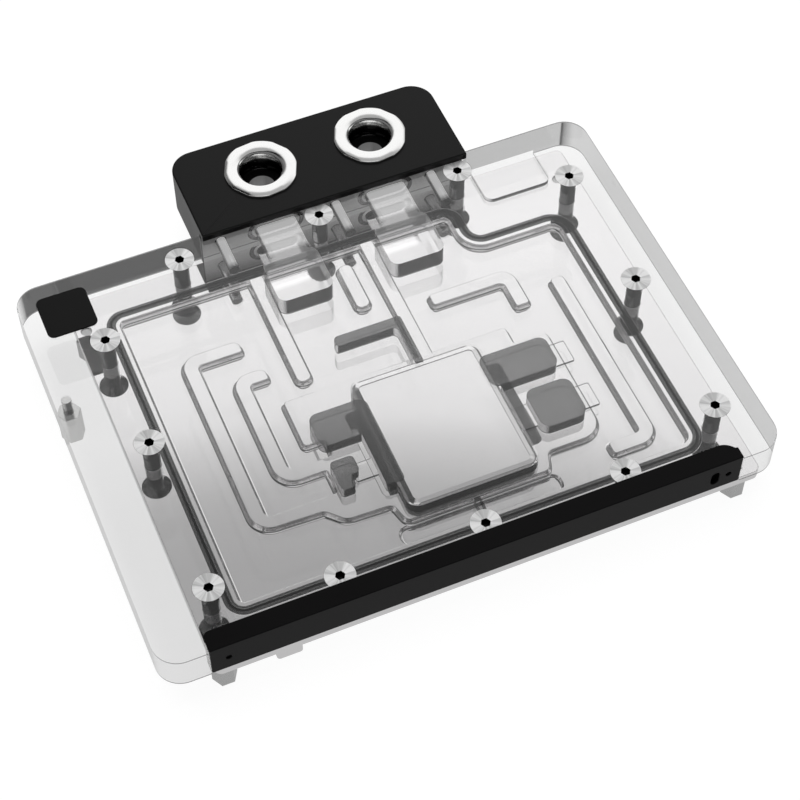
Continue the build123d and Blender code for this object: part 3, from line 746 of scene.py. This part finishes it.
# Painted highlights: the head's colour runs from dark to white in rays and a bow-tie round its
# axis.
rays = tree.nodes.new("ShaderNodeTexNoise")
rays.noise_dimensions = "1D"
rays.inputs["Scale"].default_value = 2.2
rays.inputs["Detail"].default_value = 4.0
link(tree, angle, rays.inputs["W"])
bow_highlight = calc(tree, "COSINE", product(tree, angle, 2.0))
painted_sheen = calc(tree, "ADD", product(tree, bow_highlight, 0.10), rays.outputs["Fac"])
shade = ramp(tree, painted_sheen, [(0.0, 0.35), (0.38, 0.62), (0.5, 0.80), (0.62, 0.98), (1.0, 1.0)])
link(tree, shade, shader.inputs["Base Color"])
shaded_steel = new_finish("shaded_steel", (0.75, 0.75, 0.75), 0.22, (0.3, 0.2, 0.1), metallic=0.9)
tree, shader, colour, place = opened(shaded_steel)
spot = axes_of(tree, place["Object"])
# Painted shade: above this height the socket, the cone and the shank are painted nearly black.
painted_shade = spread(tree, spot["Z"], painted_shade_from, painted_shade_from + 0.3 * MM)
link(tree, blend_colour(tree, painted_shade, colour, painted_shade_tone), shader.inputs["Base Color"])

screw_sizes = {
    "Length": screw_length,
    "Head radius": screw_head,
    "Shank radius": screw_shank,
    "Socket radius": screw_socket,
    "Socket depth": screw_socket_depth,
}
screw_tree = bpy.data.node_groups.new("countersunk_screws", "GeometryNodeTree")
ports = screw_tree.interface
ports.new_socket("Places", in_out="INPUT", socket_type="NodeSocketGeometry")
for name in screw_sizes:
    ports.new_socket(name, in_out="INPUT", socket_type="NodeSocketFloat")
ports.new_socket("Screws", in_out="OUTPUT", socket_type="NodeSocketGeometry")
tree = screw_tree
given = tree.nodes.new("NodeGroupInput").outputs
head_height = calc(tree, "SUBTRACT", given["Head radius"], given["Shank radius"])
shank_length = calc(tree, "SUBTRACT", given["Length"], head_height)
stem = open_tube(tree, screw_sides, given["Shank radius"], shank_length)
stem = lift(tree, stem, product(tree, head_height, -1.0))
cone = add_node(
    tree,
    "GeometryNodeMeshCone",
    {"fill_type": "NONE"},
    Vertices=screw_sides,
    Radius_Top=given["Head radius"],
    Radius_Bottom=given["Shank radius"],
    Depth=head_height,
).outputs["Mesh"]
cone = lift(tree, cone, product(tree, head_height, -1.0))
well = open_tube(tree, 6, given["Socket radius"], given["Socket depth"])
well = add_node(tree, "GeometryNodeFlipFaces", Mesh=well).outputs[0]
rings = [
    add_node(
        tree, "GeometryNodeCurvePrimitiveCircle", Resolution=sides, Radius=given[name]
    ).outputs["Curve"]
    for sides, name in ((screw_sides, "Head radius"), (6, "Socket radius"))
]
cap = add_node(tree, "GeometryNodeFillCurve", Curve=joined(tree, *rings)).outputs[0]
whole = joined(tree, stem, cone, well, cap)
whole = add_node(
    tree, "GeometryNodeMergeByDistance", Geometry=whole, Distance=same_spot / 2
).outputs[0]
marked = add_node(
    tree,
    "GeometryNodeStoreNamedAttribute",
    {"data_type": "FLOAT_VECTOR"},
    Geometry=whole,
    Name="turned",
    Value=tree.nodes.new("GeometryNodeInputPosition").outputs[0],
).outputs[0]
made = add_node(
    tree, "GeometryNodeInstanceOnPoints", Points=given["Places"], Instance=marked
).outputs[0]
made = add_node(tree, "GeometryNodeRealizeInstances", Geometry=made).outputs[0]
made = add_node(tree, "GeometryNodeSetMaterial", Geometry=made, Material=shaded_steel).outputs[0]
own_place = add_node(
    tree, "GeometryNodeInputNamedAttribute", {"data_type": "FLOAT_VECTOR"}, Name="turned"
).outputs["Attribute"]
on_top = calc(tree, "GREATER_THAN", axes_of(tree, own_place)["Z"], -off_level)
made = add_node(
    tree, "GeometryNodeSetMaterial", Geometry=made, Selection=on_top, Material=turned_steel
).outputs[0]
link(tree, made, tree.nodes.new("NodeGroupOutput").inputs[0])

mesh = bpy.data.meshes.new("countersunk_screws")
mesh.from_pydata([(x, y, screw_high[2]) for x, y in middles_of("cover_screws")], [], [])
screws = placed("countersunk_screws", mesh)
pattern = screws.modifiers.new("screws", "NODES")
pattern.node_group = screw_tree
for item in screw_tree.interface.items_tree:
    if item.in_out == "INPUT" and item.name in screw_sizes:
        pattern[item.identifier] = screw_sizes[item.name]
finished = made_plain(screws)
finished.shade_smooth()
finished.set_sharp_from_angle(angle=math.radians(35))
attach(screws, "root")
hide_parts("cover_screws")

# Terminal screws
# Cap screws of the same steel, bought in. They go through the terminal from behind and pull it
# against the clear cover.
# Where they stand above that height, they take the same painted shade.
dress(shaded_steel, "terminal_screws")

# Light bar
# A bar of black painted aluminium, milled out underneath for a board with a row of lamps and
# its white diffuser. Small screws fix it along the front edge.
bar_edge = 0.2 * MM
bar_paint = new_finish(
    "bar_black", (0.0028, 0.0026, 0.0028), 0.35, (0.25, 0.4, 0.05), gloss=0.10, relief=0.01
)
bar = rounded_piece("light_bar_shell", "light_bar", bar_paint, bar_edge)
dress(bar_paint, "cable_socket", "bar_screws")
board_face = new_finish("board_white", (0.8, 0.8, 0.8), 0.5, (0.5, 0.05, 0.1))
dress(board_face, "lamp_board", "lamp_diffuser")
phosphor = new_finish("phosphor", (0.9, 0.82, 0.45), 0.4, (0.2, 0.15, 0.1))
dress(phosphor, "lamp_chips")

# Badge
# A black anodised aluminium square with round corners, glued into a pocket in the acrylic. Its
# face is left bare.
badge_edge = 0.12 * MM
badge_face = new_finish(
    "badge_black", (0.006, 0.006, 0.006), 0.4, (0.3, 0.3, 0.06), gloss=0.15, relief=0.01
)
badge = rounded_piece("corner_plaque", "corner_badge", badge_face, badge_edge)

# Standoffs
# Standoffs of hexagon brass with nickel, turned and screwed in from below, that the block stands
# on. The one under the clear cover's overhang is held by its own stem, and its shoulder lies a
# hair below the acrylic. Its nickel is a lighter copy of the others', as painted light.
standoff_edge = 0.12 * MM
shoulder_gap = 0.03 * MM
brass = new_finish("standoff_nickel", (0.62, 0.62, 0.62), 0.28, (0.4, 0.1, 0.1), metallic=1.0)
dress(brass, "plate_standoffs", "core_standoffs")
shape = merged_copy("side_standoff")
for corner in shape.verts:
    if abs(corner.co.z - cover_bottom) < off_level / 2:
        corner.co.z -= shoulder_gap
# Painted light: a lighter copy of the standoffs' nickel.
painted_light_brass = new_finish(
    "overhang_nickel", (0.95, 0.95, 0.94), 0.2, (0.4, 0.05, 0.1), metallic=0.8
)
hexagon = rounded_piece(
    "overhang_standoff", "side_standoff", painted_light_brass, standoff_edge, shape=shape
)
